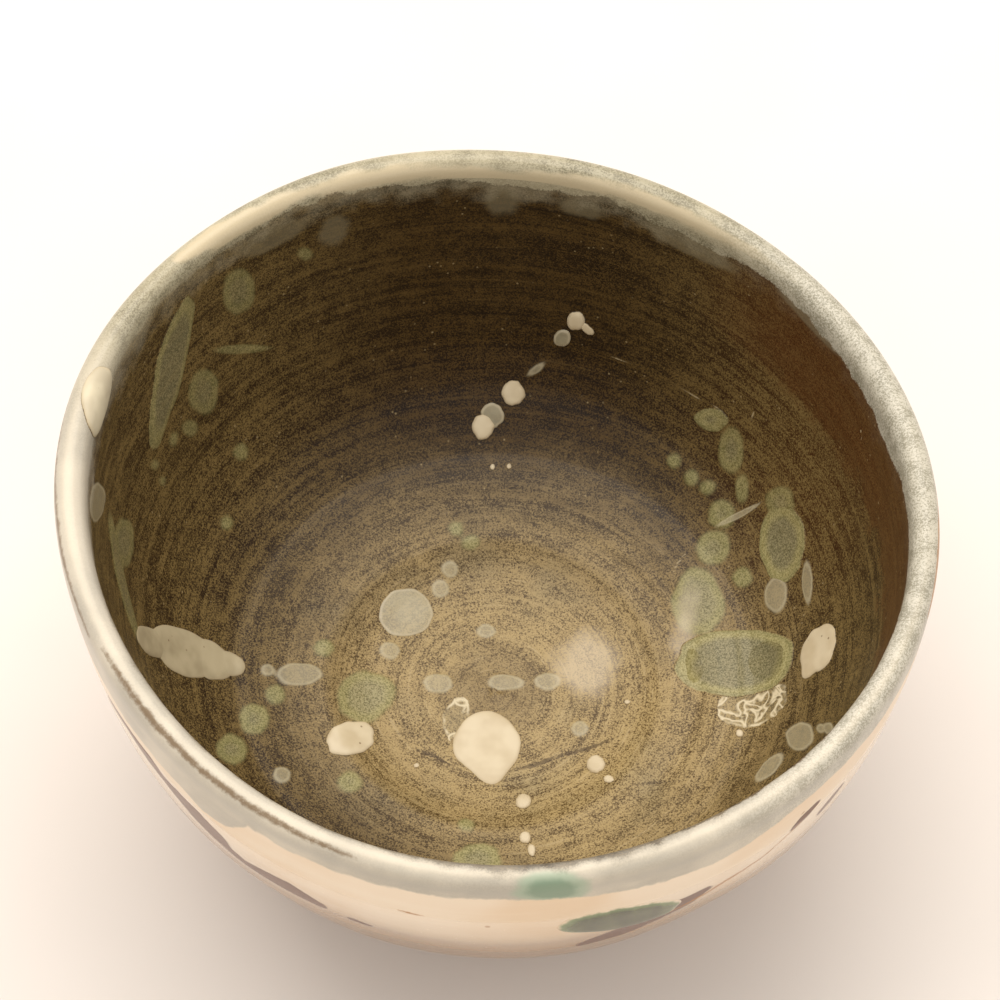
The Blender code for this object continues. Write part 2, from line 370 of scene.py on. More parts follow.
# Painted reflections of the lamp on the floor, smoky drips below the lip, and threads where white glaze broke
# up.
PAINTED_REFLECTIONS = [(18, 14.8, 5.4, 4.6, 80), (20, 31, 5.0, 1.6, 60)]
SMOKES = [(91, 86.6, 3.6, 2.8, 0), (117, 84.4, 3.4, 2.4, 0), (127, 88, 2.6, 6, 0), (79, 87, 2.0, 3.6, 0),
          (61, 87.6, 2.4, 8, 0), (38, 90, 1.6, 8, 0)]
LACES = [(352, 40.6, 5.2, 3.6, 10), (352, 37.0, 2.6, 3.4, 10), (221, 7.4, 3.8, 1.9, 35)]
# Pale scratches and dark lines of slip are strokes: stations of bearing, way and half width.
SCRATCHES = [[(73, 58.9, 0.12), (61.5, 58.2, 0.2), (48.5, 59.4, 0.12)], [(43, 61.6, 0.25), (43.4, 63.2, 0.2)],
             [(22, 82.2, 0.3), (21, 80.5, 0.15)], [(35, 33.4, 0.1), (36.5, 35.0, 0.2), (37.5, 37.0, 0.1)]]
SLIP_LINES = [[(279, 14.3, 0.2), (295, 14.2, 0.45), (312, 15.0, 0.35)],
              [(312, 15.0, 0.35), (326, 17.6, 0.4), (338.5, 21.3, 0.15)],
              [(222.5, 16.0, 0.2), (233, 14.6, 0.4), (243.5, 14.5, 0.15)],
              [(318, 27, 0.15), (324, 30, 0.35), (329, 34, 0.12)]]
print(len(GREEN_FILMS), "green films and", len(GREY_FILMS), "grey ones")

# %% [markdown]
# ## Streaks on the outside
# Under the cream coat iron slip was brushed on, and the glaze crawled back from it here and there. Those
# brown marks are strokes: a few stations of bearing, depth below the crest and half width.

# %% Strokes: stations of bearing, depth below the lip's crest and half width
VIOLET_STROKES = [
    [(209, 14.5, 0.3), (214, 13.6, 0.4), (219, 14.2, 1.3), (222, 15.4, 0.7), (225, 16.2, 1.6),
     (228, 17.2, 2.3), (231, 18.6, 2.1), (233, 20.6, 0.9), (236, 21.8, 0.7), (239, 21.2, 1.3),
     (243, 20.8, 1.8), (247, 22.0, 0.9)],
    [(252, 23.6, 0.5), (254, 24.0, 0.2)],
    [(283, 27.4, 0.4), (288, 24.8, 1.9), (292, 22.4, 2.3), (296, 19.4, 1.8), (299, 17.4, 0.4)],
    [(312.5, 13.6, 0.3), (314, 12.6, 0.8), (316, 11.8, 0.3)],
    [(318, 17.4, 0.2), (320, 16.4, 0.6), (322, 15.6, 0.2)],
]
RUST_STROKES = [
    [(294, 22.0, 0.25), (297, 20.4, 0.4), (302, 17.8, 0.45), (308, 16.6, 0.3), (311, 14.8, 0.3),
     (314, 13.6, 0.2)],
    [(344, 3.4, 0.3), (350, 3.6, 1.4), (358, 3.6, 1.6), (6, 3.4, 0.4)],
    [(70, 27.0, 0.2), (78, 24.5, 0.7), (86, 22.5, 1.3), (94, 21.4, 0.9), (102, 19.0, 0.3)],
    [(128, 23.0, 0.2), (136, 21.4, 1.0), (143, 19.5, 1.5), (150, 18.0, 1.0), (158, 15.5, 0.2)],
    [(28, 25.0, 0.2), (34, 22.5, 0.9), (40, 19.5, 1.1), (45, 16.5, 0.3)],
    [(176, 24.0, 0.2), (184, 21.2, 0.9), (191, 18.5, 1.0), (198, 15.5, 0.3)],
    [(258.5, 13.0, 0.2), (260.5, 13.2, 0.3), (262, 13.4, 0.1)], [(270, 25.2, 0.25), (271.5, 25.4, 0.1)],
]
# On the crest: thick cream, and a line where the glaze wore or ran thin over the dark body.
CREAM_STROKES = [
    [(40, -0.8, 0.3), (50, -1.7, 0.9), (60, -2.3, 1.1), (69, -2.4, 1.1)],
    [(69, -2.4, 1.1), (77, -2.3, 1.2), (85, -3.2, 1.1), (93, -3.2, 1.1)],
    [(93, -3.2, 1.1), (103, -2.3, 1.0), (113, -1.7, 0.9), (122, -1.4, 0.8)],
    [(122, -1.4, 0.8), (129, -1.7, 1.5), (136, -1.1, 1.9), (143, -0.2, 0.5)],
]
WORN_STROKES = [
    [(209, 1.2, 0.1), (215, 1.1, 0.35), (222, 1.2, 0.42), (230, 1.2, 0.38), (238, 1.2, 0.42)],
    [(238, 1.2, 0.42), (246, 1.3, 0.34), (253, 1.4, 0.12)],
    [(170, 2.6, 0.15), (182, 2.4, 0.35), (194, 2.4, 0.4), (206, 2.6, 0.15)],
]


def distance_to_strokes(way, bearing, strokes, base):
    """Millimetres to the nearest stroke's edge, below zero inside it. The base is the way to count from."""
    nearest = np.full(np.shape(way), FAR_AWAY)
    for stroke in strokes:
        middle = stroke[len(stroke) // 2]
        centre = (base + middle[1], middle[0])
        up, side = unrolled(way, bearing, *centre)
        spots = [(*unrolled(np.array(base + d), np.array(math.radians(b)), *centre), w) for b, d, w in stroke]
        for (u0, s0, w0), (u1, s1, w1) in zip(spots, spots[1:]):
            du, ds = u1 - u0, s1 - s0
            share = np.clip(((up - u0) * du + (side - s0) * ds) / (du * du + ds * ds), 0, 1)
            gap = np.hypot(up - u0 - share * du, side - s0 - share * ds) - (w0 + share * (w1 - w0))
            nearest = np.minimum(nearest, gap)
    return nearest


# %% [markdown]
# The pale glaze of the lip has two edges of its own. Both wander round the bowl, so each is a short list
# of bearings with the distance from the crest at which the pale glaze ends.

# %% The two edges of the pale band: bearing, millimetres from the crest
PALE_EDGE = [(0, 5.2), (7, 4.6), (12, 6.2), (18, 6.8), (26, 5.6), (38, 4.8), (48, 4.8), (54, 5.2),
             (62, 6.2), (67, 6.0), (74, 4.4), (86, 5.4), (94, 5.2), (104, 4.2), (122, 3.2), (134, 4.2),
             (160, 4.2), (175, 4.8), (186, 5.6), (196, 4.4), (206, 3.0), (235, 2.8), (252, 2.0),
             (262, 1.3), (290, 0.9), (305, 1.6), (326, 2.6), (338, 3.0), (346, 4.0), (353, 5.0)]
CREAM_EDGE = [(0, 6.4), (40, 7.0), (80, 8.0), (120, 7.0), (160, 7.5), (185, 8.6), (205, 9.6), (226, 10.4),
              (230, 12.2), (234, 11.6), (238, 6.0), (250, 6.2), (262, 5.8), (272, 5.2), (284, 6.6),
              (291, 7.4), (298, 8.0), (305, 7.8), (313, 6.2), (330, 6.6), (345, 5.8)]
TEAL_MARKS = [(278, CREST + 3.4, 3.4, 5.4, -10)]


def along_rim(edge, bearing):
    """The edge's distance from the crest at each bearing."""
    bearings, distances = zip(*edge)
    return np.interp(np.degrees(bearing) % 360, bearings, distances, period=360)


# %% [markdown]
# ## One maker for every coat
# A coat of glaze is a skin: a fine outer face with the marks of the wheel in it, and a plain back that lies
# on the clay. Both are grids of way and bearing, joined at their edges into one closed body.

# %% Build closed skins from way and bearing
ROUND = 540
BACK_ROWS = 14
GREEN_THICK, GREY_THICK = 0.13, 0.16
GREEN_SEED, GREY_SEED, TEAL_SEED = 100, 300, 600
FLOOR_MARKS = {"sheen_far": (PAINTED_REFLECTIONS, 500), "smoke_far": (SMOKES, 540), "lace_far": (LACES, 520)}
FLOOR_STROKES = {"scratch_far": SCRATCHES, "slip_far": SLIP_LINES}
OUTER_STROKES = {"violet_far": VIOLET_STROKES, "rust_far": RUST_STROKES,
                 "stripe_far": CREAM_STROKES, "worn_far": WORN_STROKES}


def film_lift(way, bearing):
    """The small thickness that films add to the dark coat, and the distance to each kind of film."""
    green = distance_to(way, bearing, GREEN_FILMS, GREEN_SEED)
    grey = distance_to(way, bearing, GREY_FILMS, GREY_SEED)
    height = GREEN_THICK * np.clip(-green / 0.8 + 0.2, 0, 1) + GREY_THICK * np.clip(-grey / 0.5 + 0.2, 0, 1)
    return height, green, grey


def coat_numbers(way, bearing, floor):
    """What a finish has to know at each point: its way, and how far the edges and strokes are."""
    numbers = {"way": way, "pale_far": way - CREST + along_rim(PALE_EDGE, bearing)}
    if floor:
        for name, (marks, seed) in FLOOR_MARKS.items():
            numbers[name] = distance_to(way, bearing, marks, seed)
        for name, strokes in FLOOR_STROKES.items():
            numbers[name] = distance_to_strokes(way, bearing, strokes, 0)
        return numbers
    numbers["cream_far"] = way - CREST - along_rim(CREAM_EDGE, bearing)
    for name, strokes in OUTER_STROKES.items():
        numbers[name] = distance_to_strokes(way, bearing, strokes, CREST)
    numbers["teal_far"] = distance_to(way, bearing, TEAL_MARKS, TEAL_SEED)
    return numbers


def add_piece(name, points, faces, sharp=(), **numbers):
    """A mesh piece in metres, smooth but for its sharp edges, carrying numbers on its points."""
    mesh = bpy.data.meshes.new(name)
    mesh.from_pydata((points * MM).tolist(), [], faces)
    mesh.polygons.foreach_set("use_smooth", np.ones(len(mesh.polygons), bool))
    for key, values in numbers.items():
        store = mesh.attributes.new(key, "FLOAT", "POINT")
        store.data.foreach_set("value", np.asarray(values, np.float32))
    if len(sharp):
        rim = set(map(tuple, np.sort(np.array(sharp), 1).tolist()))
        flags = [tuple(sorted(e.vertices)) in rim for e in mesh.edges]
        mesh.attributes.new("sharp_edge", "BOOLEAN", "EDGE").data.foreach_set("value", flags)
    mesh.update()
    piece = bpy.data.objects.new(name, mesh)
    bpy.context.scene.collection.objects.link(piece)
    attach(piece, "root")
    print(f"{name}: {sum(len(f) - 2 for f in faces)} triangles")
    return piece


def ring():
    """The numbers of one ring's points, and of the next point round from each."""
    here = np.arange(ROUND)
    return here, (here + 1) % ROUND


def grid_faces(first, rows, flip=False):
    """Quads between rows of ROUND points each."""
    faces = []
    k, n = ring()
    for row in range(rows - 1):
        a, b = first + row * ROUND, first + (row + 1) * ROUND
        quads = np.stack([a + k, a + n, b + n, b + k], 1)
        faces.append(quads[:, ::-1] if flip else quads)
    return np.concatenate(faces).tolist()


def ring_edges(first):
    """The edges of the ring that starts at a point."""
    k, n = ring()
    return np.stack([first + k, first + n], 1)


def coat(name, start, stop, step, thickness, floor=False):
    """A glaze coat from one way to another. A floor coat starts at the centre of the bowl."""
    turns = np.arange(ROUND) * 2 * math.pi / ROUND
    ways = np.linspace(start, stop, int((stop - start) / step) + 1)
    back_ways = np.linspace(stop, start, BACK_ROWS)
    if floor:
        ways, back_ways = ways[1:], back_ways[:-1]
    way, turn = [g.ravel() for g in np.meshgrid(ways, turns, indexing="ij")]
    lift, green, grey = film_lift(way, turn)
    face = place(way, turn, lift)
    way2, turn2 = [g.ravel() for g in np.meshgrid(back_ways, turns, indexing="ij")]
    back = place(way2, turn2, -thickness, marks=False)
    points, n_face = np.vstack([face, back]), len(face)
    faces = grid_faces(0, len(ways), flip=True) + grid_faces(n_face, len(back_ways), flip=True)
    last = (len(ways) - 1) * ROUND
    end = n_face + (len(back_ways) - 1) * ROUND
    k, n = ring()
    faces += np.stack([last + k, n_face + k, n_face + n, last + n], 1).tolist()
    sharp = [ring_edges(last), ring_edges(n_face)]
    all_way, all_turn = np.concatenate([way, way2]), np.concatenate([turn, turn2])
    if floor:
        top, under = len(points), len(points) + 1
        points = np.vstack([points, place(np.zeros(1), np.zeros(1)), [[0, 0, FLOOR_HEIGHT - thickness]]])
        faces += [(top, a, b) for a, b in zip(k.tolist(), n.tolist())]
        faces += [(under, end + b, end + a) for a, b in zip(k.tolist(), n.tolist())]
        all_way, all_turn = np.append(all_way, [0, 0]), np.append(all_turn, [0, 0])
    else:
        faces += np.stack([k, n, end + n, end + k], 1).tolist()
        sharp += [ring_edges(0), ring_edges(end)]
    numbers = coat_numbers(all_way, all_turn, floor)
    plain = np.full(len(all_way) - n_face, FAR_AWAY)
    numbers["green_far"], numbers["grey_far"] = np.append(green, plain), np.append(grey, plain)
    return add_piece(name, points, faces, np.concatenate(sharp), **numbers)


# %% [markdown]
# ## The dark coat inside
# The inside glaze is an iron glaze, nearly black-brown where it is thin on the steep wall and an olive tan
# where it pooled on the floor. It is full of tiny crystals, so light and dark grains about a quarter of a
# millimetre across lie all over it, drawn out into faint rings by the wheel. Noises of several sizes, and
# two that are stretched round the bowl, decide between a deep and a pale tone at every point.

# %% The dark coat's colour, roughness and height
DEEP_WALL, DEEP_FLOOR = tone(32, 18, 4), tone(82, 60, 24)
DEEP_SIDE_LIT, DEEP_RIGHT = tone(46, 28, 8), tone(70, 38, 10)
PALE_WALL, PALE_FLOOR, PALE_SIDE_LIT = tone(84, 62, 28), tone(178, 152, 102), tone(144, 120, 72)
PALE_CLOUD, HOLLOW = tone(134, 126, 98), tone(92, 72, 42)
TRACK_WALL, TRACK_FLOOR = tone(104, 84, 50), tone(206, 184, 144)
SCAR_WALL, SCAR_FLOOR = tone(26, 14, 4), tone(70, 54, 30)
RUST_DEEP, RUST_PALE, PIN, PIT = tone(74, 40, 12), tone(98, 62, 26), tone(172, 150, 108), tone(46, 32, 18)


def ringed(f, way, around, along):
    """A place for noise that is drawn out round the bowl."""
    squeezed = f.stretched(around, around, 0.0)
    up = f.node("ShaderNodeCombineXYZ", None, {2: way * along})
    return f.node("ShaderNodeVectorMath", {"operation": "ADD"}, {0: squeezed, 1: up})


def dark_coat(f, way):
    """The iron glaze: its colour, its roughness, its height and its grain."""
    # Unevenness of six sizes, from broad clouds to single crystals.
    cloud = f.noise(0.075, 3, 0.55)
    patch = f.noise(0.32, 3, 0.6, warp=0.4)
    coarse = f.noise(0.9, 3, 0.65)
    grain = f.noise(3.9, 2, 0.6, warp=0.6)
    rings = f.noise(1.0, 3, 0.6, spot=ringed(f, way, 0.045, 0.85))
    lines = f.noise(1.0, 2, 0.7, spot=ringed(f, way, 0.05, 2.2))
    # Where the point lies: on a side wall, low where the glaze pooled, or high where it ran thin. Part of
    # both is painted light.
    x, y = f.right_and_back()
    # The side walls get lighter tones than the back wall, partly as glaze colour and partly as painted light,
    # as the back wall faces away from the lamp.
    side = x.maths("ABSOLUTE", x).rise(10, 46)
    # The pooled floor tone reaches higher on the right and front: painted light where the lamp falls on the
    # floor.
    low = (way + (cloud - 0.5) * 18 + (rings - 0.5) * 10 - (x - y * 0.7).rise(5, 45) * 14).rise(48, 14)
    steep = 1 - low
    # Light is 1 on a pale grain and 0 between the grains.
    shade = (patch - 0.5) * 0.8 + (rings - 0.5) * 1.0 + (lines - 0.5) * 0.6 + (coarse - 0.5) * 0.5
    light = (grain + shade * 0.35 + low * 0.06 - 0.01).rise(0.35, 0.66)
    deep = f.mix(low, DEEP_WALL, DEEP_FLOOR)
    deep = f.mix(side * steep * 0.8, deep, DEEP_SIDE_LIT)
    deep = f.mix(x.rise(22, 50) * y.rise(-2, 22) * steep * 0.8, deep, DEEP_RIGHT)
    warm = (way + (patch - 0.5) * 14).rise(70, 76) * x.rise(26, 44)
    pale = f.mix(low, PALE_WALL, PALE_FLOOR)
    pale = f.mix(side * steep * 0.7, pale, PALE_SIDE_LIT)
    pale = f.mix(cloud.rise(0.5, 0.72) * 0.3 * low, pale, PALE_CLOUD)
    colour = f.mix(light, deep, pale)
    colour = f.mix((way + (patch - 0.5) * 6).rise(11, 3) * 0.35, colour, HOLLOW)
    # Pale tracks and dark scars follow the wheel, and the glaze turned rusty under the rim on the right.
    track = lines.rise(0.58, 0.72) * patch.rise(0.4, 0.6)
    colour = f.mix(track * 0.25, colour, f.mix(low, TRACK_WALL, TRACK_FLOOR))
    scar = lines.rise(0.40, 0.30) * patch.rise(0.62, 0.42)
    colour = f.mix(scar * 0.3, colour, f.mix(low, SCAR_WALL, SCAR_FLOOR))
    colour = f.mix(warm * 0.75, colour, f.mix(grain.rise(0.3, 0.7), RUST_DEEP, RUST_PALE))
    # Pale pins of crystal and dark pits where bubbles burst.
    pins = f.grains(0.62).rise(0.14, 0.06) * f.noise(0.2, 1).rise(0.5, 0.62)
    colour = f.mix(pins * 0.6, colour, PIN)
    pits = f.grains(0.5, spot=f.stretched(1.0, 1.1, 0.9)).rise(0.12, 0.05) * rings.rise(0.5, 0.6)
    colour = f.mix(pits * 0.6, colour, PIT)
    height = grain * 0.5 + lines * 0.25 + pins * 0.3 - pits * 0.3
    rough = 0.42 + grain * 0.16 - low * 0.04
    return colour, rough, height, grain


def with_films(f, way, colour, rough, grain):
    """Green and grey films over the dark coat."""
    # Copper green: darker and greyer in the heart of a film than at its edge.
    ragged = (f.noise(0.9, 3, 0.6) - 0.5) * 0.5 + (grain - 0.5) * 0.5
    green_far = f.reading("green_far") + ragged
    green = green_far.rise(0.35, -0.6)
    rim = green_far.hump(-0.1, 0.35)
    heart = green_far.rise(-0.9, -2.4)
    spotted = grain.rise(0.36, 0.6)
    film = f.mix(spotted, tone(128, 122, 72), tone(170, 161, 110))
    film = f.mix(heart * 0.75, film, f.mix(spotted, tone(112, 104, 68), tone(160, 152, 114)))
    colour = f.mix(green * (0.5 + way.rise(60, 40) * 0.26), colour, film)
    colour = f.mix(rim * 0.14, colour, tone(70, 60, 34))
    # Grey glaze, smoky drips under the lip and painted reflections of the lamp on the floor.
    grey_far = f.reading("grey_far") + ragged * 0.3
    grey = grey_far.rise(0.3, -0.4)
    edge = grey_far.hump(-0.3, 0.4)
    colour = f.mix(grey * 0.55, colour, tone(178, 165, 132))
    colour = f.mix(edge * 0.3, colour, tone(206, 192, 158))
    smoke = (f.reading("smoke_far") + (f.noise(0.5, 3) - 0.5) * 1.6).rise(0.7, -1.0)
    colour = f.mix(smoke * 0.5, colour, tone(134, 122, 94))
    # Painted reflection: lighter patches on the right of the floor stand in for the lamp's glossy reflection.
    painted_reflection = (f.reading("sheen_far") + (f.noise(0.2, 2) - 0.5) * 4 + (grain - 0.5) * 3).rise(2.0, -2.4)
    colour = f.mix(painted_reflection * 0.45, colour, tone(222, 204, 176))
    # White glaze that broke into threads, strongest round its edge.
    lace_far = f.reading("lace_far") + (f.noise(0.5, 3) - 0.5) * 1.4
    outline = lace_far.hump(-0.35, 0.5) * f.noise(0.3, 2).rise(0.4, 0.56)
    threads = f.noise(0.34, 2, 0.5, warp=0.6).hump(0.5, 0.07).most(outline)
    colour = f.mix(lace_far.rise(0.1, -0.1) * threads, colour, tone(226, 208, 172))
    colour = f.mix(lace_far.rise(0.1, -0.2) * 0.18, colour, tone(186, 172, 134))
    rough = rough - green * 0.08 - grey * 0.14
    return colour, rough


# %% [markdown]
# ## The pale band over the lip
# A grey-white glaze was poured round the rim. It is thick and cream where it hangs below the lip, thin and
# speckled grey elsewhere, and in front on the left it wore through along the shoulder, in a brown line.
# Inside it ends in a ragged edge or fades as mist; outside it ends in a wavy edge on the cream coat.

# %% The lip band and the cream coat
SPECK_DARK, SPECK_PALE, DRIFT = tone(122, 113, 88), tone(168, 158, 131), tone(196, 182, 150)
FRONT_DARK, FRONT_PALE = tone(184, 174, 158), tone(204, 192, 173)
RIGHT_DARK, RIGHT_PALE = tone(146, 139, 120), tone(196, 188, 170)
STRIPE, CREST_PAINTED_HIGHLIGHT, CREST_SHADE = tone(200, 182, 148), tone(224, 208, 180), tone(172, 164, 150)
WORN_BROWN, TEAL_THIN, TEAL_THICK = tone(104, 76, 38), tone(154, 168, 142), tone(110, 132, 106)
CREAM, PEACH, VEIL, PAINTED_LOW_SHADE = tone(232, 211, 184), tone(224, 196, 162), tone(236, 219, 194), tone(146, 110, 72)
FRECKLE, SPECKLE = tone(166, 116, 70), tone(190, 160, 122)
VIOLET, VIOLET_RIM, RUST = tone(108, 74, 58), tone(88, 58, 38), tone(168, 118, 68)


def lip_cover(f, grain):
    """How much the pale glaze hides the dark coat: a crisp ragged edge, or a mist on the front and left."""
    x, y = f.right_and_back()
    mist = (x * -0.8 - y * 0.6).rise(-10, 30)
    drip = f.noise(1.0, 3, 0.55, spot=f.stretched(0.22, 0.22, 0.10))
    far = f.reading("pale_far") + (drip - 0.5) * 4.5 + (grain - 0.5) * 1.2
    crisp, soft = far.rise(-0.35, 0.35), far.rise(-1.2, 1.6)
    smoke = (far + (f.noise(0.3, 2) - 0.5) * 8).rise(-4.5, 0.5) * (0.45 - x.rise(15, 45) * 0.4)
    return (crisp + (soft - crisp) * mist).most(smoke)


def lip_band(f, grain, on_lip=True):
    """The pale glaze's colour, with cream, worn and green places where it goes over the lip, and a painted
    highlight and painted shade along the crest in front.
    """
    cloud = f.noise(0.12, 2, 0.5)
    speck = (grain + (f.noise(0.35, 3) - 0.5) * 0.5).rise(0.38, 0.6)
    drift = f.noise(1.0, 3, 0.55, spot=f.stretched(0.06, 0.06, 0.5)).rise(0.38, 0.62)
    # Speckled grey, drawn out round the rim, smoother in front and paler on the right.
    grey = f.mix(speck, SPECK_DARK, SPECK_PALE)
    grey = f.mix(drift * 0.45, grey, DRIFT)
    x, y = f.right_and_back()
    near = (x * -0.3 - y).rise(-16, 20)
    grey = f.mix(near * 0.8, grey, f.mix(cloud.rise(0.35, 0.65), FRONT_DARK, FRONT_PALE))
    grey = f.mix(x.rise(26, 48) * 0.8, grey, f.mix(speck, RIGHT_DARK, RIGHT_PALE))
    if not on_lip:
        return grey
    # Cream stripes at the back, a painted highlight along the crest in front with a band of painted shade
    # just outside it, and the worn brown line.
    soft = (f.noise(0.5, 3, 0.6) - 0.5) * 0.9
    drawn = (f.noise(1.0, 3, 0.6, spot=f.stretched(0.12, 0.12, 0.5)) - 0.5) * 3.0
    stripe = (f.reading("stripe_far") + soft + drawn).rise(0.6, -0.4)
    colour = f.mix(stripe * (0.85 - x.rise(26, 44) * 0.85), grey, STRIPE)
    crest = (f.reading("way") + soft).hump(CREST + 0.2, 1.1) * near
    colour = f.mix(crest * 0.35, colour, CREST_PAINTED_HIGHLIGHT)
    shadow = (f.reading("way") + soft).hump(CREST + 3.6, 1.8) * near
    colour = f.mix(shadow * 0.5, colour, CREST_SHADE)
    worn = f.reading("worn_far") + (f.noise(1.1, 3, 0.7) - 0.5) * 1.1
    colour = f.mix(worn.rise(0.4, -0.3) * 0.8, colour, WORN_BROWN)
    # The green that ran down to the lip in front.
    teal_far = f.reading("teal_far") + (f.noise(0.5, 3, 0.6) - 0.5) * 1.2
    colour = f.mix(teal_far.rise(0.6, -0.9) * 0.8, colour, TEAL_THIN)
    return f.mix(teal_far.rise(-0.8, -2.2) * 0.7, colour, TEAL_THICK)


def cream_coat(f, way, speckle):
    """The outer coat's colour: cream to peach, with painted shade low on the wall, strongest on the front."""
    blush = f.noise(0.05, 2, 0.5)
    veil = f.noise(1.0, 3, 0.55, spot=ringed(f, way, 0.03, 0.35))
    colour = f.mix(blush.rise(0.38, 0.66), CREAM, PEACH)
    colour = f.mix(veil.rise(0.45, 0.75) * 0.35, colour, VEIL)
    y = f.right_and_back()[1]
    # Painted shade: the lower wall is darkened, most on the front, where the underside is shaded from the
    # lamp.
    low_front_shade = way.rise(CREST + 14, CREST + 31) * (0.35 + y.rise(0, -45) * 0.6)
    colour = f.mix(low_front_shade, colour, PAINTED_LOW_SHADE)
    freckle = f.grains(0.16).rise(0.08, 0.04) * f.noise(0.11, 1).rise(0.45, 0.6)
    colour = f.mix(freckle * 0.6, colour, FRECKLE)
    return f.mix(speckle.rise(0.7, 0.8) * 0.15, colour, SPECKLE)


def with_strokes(f, colour, rough):
    """Iron marks on the outside."""
    ragged = (f.noise(1.1, 4, 0.7) - 0.5) * 0.55
    violet_far = f.reading("violet_far") + ragged
    violet = violet_far.rise(0.62, 0.38)
    rim = violet_far.hump(0.5, 0.3)
    colour = f.mix(violet * 0.95, colour, VIOLET)
    colour = f.mix(rim * 0.5, colour, VIOLET_RIM)
    rust = (f.reading("rust_far") + ragged).rise(0.15, -0.15)
    colour = f.mix(rust * 0.85, colour, RUST)
    return colour, rough + violet * 0.25 + rust * 0.15


# %% Finishes for the three coats
def inside_finish():
    f = Finish("inside_glaze")
    colour, rough, height, grain = dark_coat(f, f.reading("way"))
    colour, rough = with_films(f, f.reading("way"), colour, rough, grain)
    fuzz = (grain - 0.5) * 0.4
    slip = (f.reading("slip_far") + fuzz).rise(0.1, -0.15)
    colour = f.mix(slip * 0.7, colour, tone(66, 46, 20))
    scratch = (f.reading("scratch_far") + fuzz).rise(0.06, -0.1)
    colour = f.mix(scratch * 0.6, colour, tone(196, 176, 136))
    cover = lip_cover(f, grain)
    colour = f.mix(cover, colour, lip_band(f, grain, on_lip=False))
    return f.surface(colour, rough, height * (1 - cover * 0.7), 0.08, 0.10, 0.22, shine=0.22)


def lip_finish():
    f = Finish("lip_glaze")
    way = f.reading("way")
    colour, rough, height, grain = dark_coat(f, way)
    cover = lip_cover(f, grain)
    colour = f.mix(cover, colour, lip_band(f, grain))
    cream = (f.reading("cream_far") + (f.noise(0.25, 3, 0.6) - 0.5) * 2.2).rise(-0.4, 0.4)
    colour = f.mix(cream, colour, cream_coat(f, way, grain))
    colour, rough = with_strokes(f, colour, rough - cover * 0.16)
    return f.surface(colour, rough, height * (1 - cover * 0.7), 0.08, 0.2, 0.16, shine=0.28)


def outside_finish():
    f = Finish("outside_glaze")
    grain = f.noise(2.3, 2, 0.6, warp=0.6)
    cream = (f.reading("cream_far") + (f.noise(0.25, 3, 0.6) - 0.5) * 2.2).rise(-0.4, 0.4)
    colour = f.mix(cream, lip_band(f, grain), cream_coat(f, f.reading("way"), grain))
    colour, rough = with_strokes(f, colour, 0.2 + grain * 0.1)
    return f.surface(colour, rough, grain * 0.3, 0.06, 0.5, 0.1)


# %% Make the three coats
SKIN = 0.6
STEP, LIP_STEP = 0.6, 0.35
INSIDE_STOP, OUTSIDE_START, OUTSIDE_STOP = END - 78.35, END - 61.15, END - 5.0
inside = coat("inside_glaze_skin", 0.0, INSIDE_STOP, STEP, SKIN, floor=True)
lip = coat("lip_glaze_band", INSIDE_STOP, OUTSIDE_START, LIP_STEP, SKIN)
outside = coat("outside_glaze_skin", OUTSIDE_START, OUTSIDE_STOP, STEP, SKIN)
for piece, finish, node in ((inside, inside_finish, "inside_glaze"), (lip, lip_finish, "lip_glaze"),
                            (outside, outside_finish, "outside_glaze")):
    piece.data.materials.append(finish())
    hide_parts(node)

# %% [markdown]
# ## Thick drops
# The white glaze was stiff and stayed where it fell as raised beads and runs. Each is its own closed
# body: a dome of rings and spokes over the surface with its underside sunk a little into the coat.

# %% Build one drop that follows the bowl
SUNK = 0.12


def drop_grid(mark, seed, height, amount, square=2.0, tail=(0.0, 0.0), rings=22, spokes=96):
    """Points, faces and edge shares of one drop."""
    centre_bearing, centre_way, length, width, turn = mark
    angle = np.arange(spokes) * 2 * math.pi / spokes
    a = math.radians(turn)
    reach = (np.abs(np.cos(angle)) ** square + np.abs(np.sin(angle)) ** square) ** (-1 / square)
    reach = reach * wobble(angle, seed, amount)
    reach = reach + tail[0] * np.clip(np.cos(angle - math.radians(tail[1])), 0, 1) ** 14
    shares = np.sin(np.linspace(0, 1, rings + 1)[1:] * math.pi / 2)
    share, spin = np.meshgrid(shares, angle, indexing="ij")
    out = share * reach[None, :]
    along, across = out * np.cos(spin) * length, out * np.sin(spin) * width
    up, side = along * math.cos(a) - across * math.sin(a), along * math.sin(a) + across * math.cos(a)
    way, bearing = rolled(up, side, centre_way, centre_bearing)
    dome = height * (1 - share ** 4) ** 0.6
    top = place(way.ravel(), bearing.ravel(), dome.ravel())
    under = place(way.ravel()[-spokes:], bearing.ravel()[-spokes:], -SUNK)
    way0, bearing0 = rolled(np.zeros(1), np.zeros(1), centre_way, centre_bearing)
    points = np.vstack([top, under, place(way0, bearing0, height), place(way0, bearing0, -SUNK)])
    spoke = np.arange(spokes)
    nxt = (spoke + 1) % spokes
    faces = []
    for i in range(rings):
        first, second = i * spokes, (i + 1) * spokes
        faces += np.stack([first + spoke, second + spoke, second + nxt, first + nxt], 1).tolist()
    middle, bottom, low = rings * spokes + spokes, rings * spokes + spokes + 1, rings * spokes
    faces += [(middle, int(p), int(q)) for p, q in zip(spoke, nxt)]
    faces += [(bottom, int(low + q), int(low + p)) for p, q in zip(spoke, nxt)]
    edge = np.concatenate([share.ravel(), np.full(spokes, 1.05), [0.0, 0.0]])
    thick = math.sqrt(length * width)
    ways = np.concatenate([way.ravel(), way.ravel()[-spokes:], way0, way0])
    return points, faces, (edge - 1) * thick, ways


